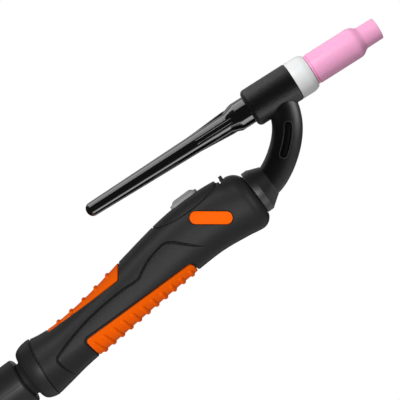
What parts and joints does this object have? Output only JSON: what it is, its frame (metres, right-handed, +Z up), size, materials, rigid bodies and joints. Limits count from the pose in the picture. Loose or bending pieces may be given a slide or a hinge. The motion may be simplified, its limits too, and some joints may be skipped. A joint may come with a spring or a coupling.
{
  "type": "tig welding torch",
  "caption": "Hand-held welding torch with a two-shell handle, soft grips, push button, bendable neck, ceramic nozzle, long back cap and a ball-jointed cable sleeve.",
  "frame": {"origin": "the middle of the hand grip, on the plane where the two handle shells meet", "axes": "+X along the handle towards the nozzle, +Z up through the push button, +Y away from the side with the badge"},
  "size_m": [0.3569, 0.0378, 0.0819],
  "materials": {
    "black_plastic": "fine matte grain",
    "satin_plastic": "satin",
    "black_rubber": "matte",
    "orange_rubber": "satin",
    "orange_badge": "satin",
    "grey_plastic": "matte",
    "inner_plastic": "satin",
    "white_plastic": "satin",
    "gloss_black": "polished",
    "pink_ceramic": "fine matte",
    "circuit_board": "satin",
    "lead_cover": "satin",
    "seal_rubber": "matte",
    "brass": "turned",
    "copper": "turned",
    "steel": "zinc plated",
    "tungsten": "ground"
  },
  "bodies": {
    "handle": {"left_shell": "black_plastic", "right_shell": "black_plastic", "upper_grip": "orange_rubber", "lower_grip": "orange_rubber", "badge": "orange_badge", "switch_cover": "black_plastic", "micro_switch": "inner_plastic", "switch_board": "circuit_board", "switch_plug": "white_plastic", "button_spring_1": "steel", "button_spring_2": "steel", "switch_lead_1": "lead_cover", "switch_lead_2": "lead_cover", "handle_screw_1": "steel", "handle_screw_2": "steel", "handle_screw_3": "steel", "handle_screw_4": "steel", "rear_ring": "satin_plastic", "power_tube": "brass", "union_nut": "brass", "hose_nipple": "brass", "neck_collar": "black_rubber", "neck_sleeve": "black_rubber", "neck_tube": "copper"},
    "button": {"button": "grey_plastic"},
    "plunger": {"switch_plunger": "seal_rubber"},
    "latch": {"module_latch": "black_plastic"},
    "ball_seat": {"ball_seat": "inner_plastic"},
    "cable_support": {"ball": "satin_plastic", "support_upper": "black_rubber", "support_lower": "black_rubber", "support_screw_1": "steel", "support_screw_2": "steel"},
    "head": {"head_cover": "black_rubber", "head_core": "brass", "collet_body": "copper"},
    "collet": {"collet": "copper"},
    "back_cap": {"back_cap": "gloss_black", "back_cap_o_ring": "seal_rubber"},
    "electrode": {"electrode": "tungsten"},
    "insulator": {"insulator_ring": "white_plastic"},
    "nozzle": {"nozzle": "pink_ceramic"}
  },
  "joints": [
    {"name": "neck_bend", "type": "hinge", "parent": "handle", "child": "head", "pos_m": [0.128, 0, 0.0205], "axis": [0, 1, 0], "range_deg": [-8, 45], "deforming": ["neck_sleeve", "neck_tube"]},
    {"name": "button_press", "type": "slide", "parent": "handle", "child": "button", "axis": [0, 0, -1], "range_m": [0, 0.0012], "stiffness_N_per_m": 600, "springref_m": -0.0003, "deforming": ["button_spring_1", "button_spring_2"]},
    {"name": "plunger_press", "type": "slide", "parent": "handle", "child": "plunger", "axis": [0, 0, -1], "range_m": [0, 0.0012]},
    {"name": "latch_release", "type": "hinge", "parent": "handle", "child": "latch", "pos_m": [0.0842, 0, 0.0222], "axis": [0, 1, 0], "range_deg": [0, 6], "stiffness_Nm_per_rad": 0.05},
    {"name": "sleeve_spin", "type": "hinge", "parent": "handle", "child": "ball_seat", "pos_m": [-0.0735, 0, 0], "axis": [1, 0, 0], "continuous": true},
    {"name": "sleeve_tilt", "type": "hinge", "parent": "ball_seat", "child": "cable_support", "pos_m": [-0.0735, 0, 0], "axis": [0, 1, 0], "range_deg": [-12, 12]},
    {"name": "cap_turn", "type": "hinge", "parent": "collet", "child": "back_cap", "pos_m": [0.1536, 0, 0.0485], "axis": [-0.9974, 0, 0.0715], "range_deg": [0, 1081]},
    {"name": "collet_slide", "type": "slide", "parent": "head", "child": "collet", "axis": [-0.9974, 0, 0.0715], "range_m": [0, 0.003]},
    {"name": "electrode_slide", "type": "slide", "parent": "collet", "child": "electrode", "axis": [0.9974, 0, -0.0715], "range_m": [-0.004, 0.01]},
    {"name": "nozzle_turn", "type": "hinge", "parent": "insulator", "child": "nozzle", "pos_m": [0.1536, 0, 0.0485], "axis": [0.9974, 0, -0.0715], "range_deg": [0, 1801]},
    {"name": "insulator_slide", "type": "slide", "parent": "head", "child": "insulator", "axis": [0.9974, 0, -0.0715], "range_m": [0, 0.0075]}
  ],
  "couplings": [
    {"joint": "plunger_press", "follows": "button_press", "ratio": 1},
    {"joint": "cap_turn", "follows": "collet_slide", "rad_per_m": 6283.2},
    {"joint": "nozzle_turn", "follows": "insulator_slide", "rad_per_m": 4188.8}
  ]
}
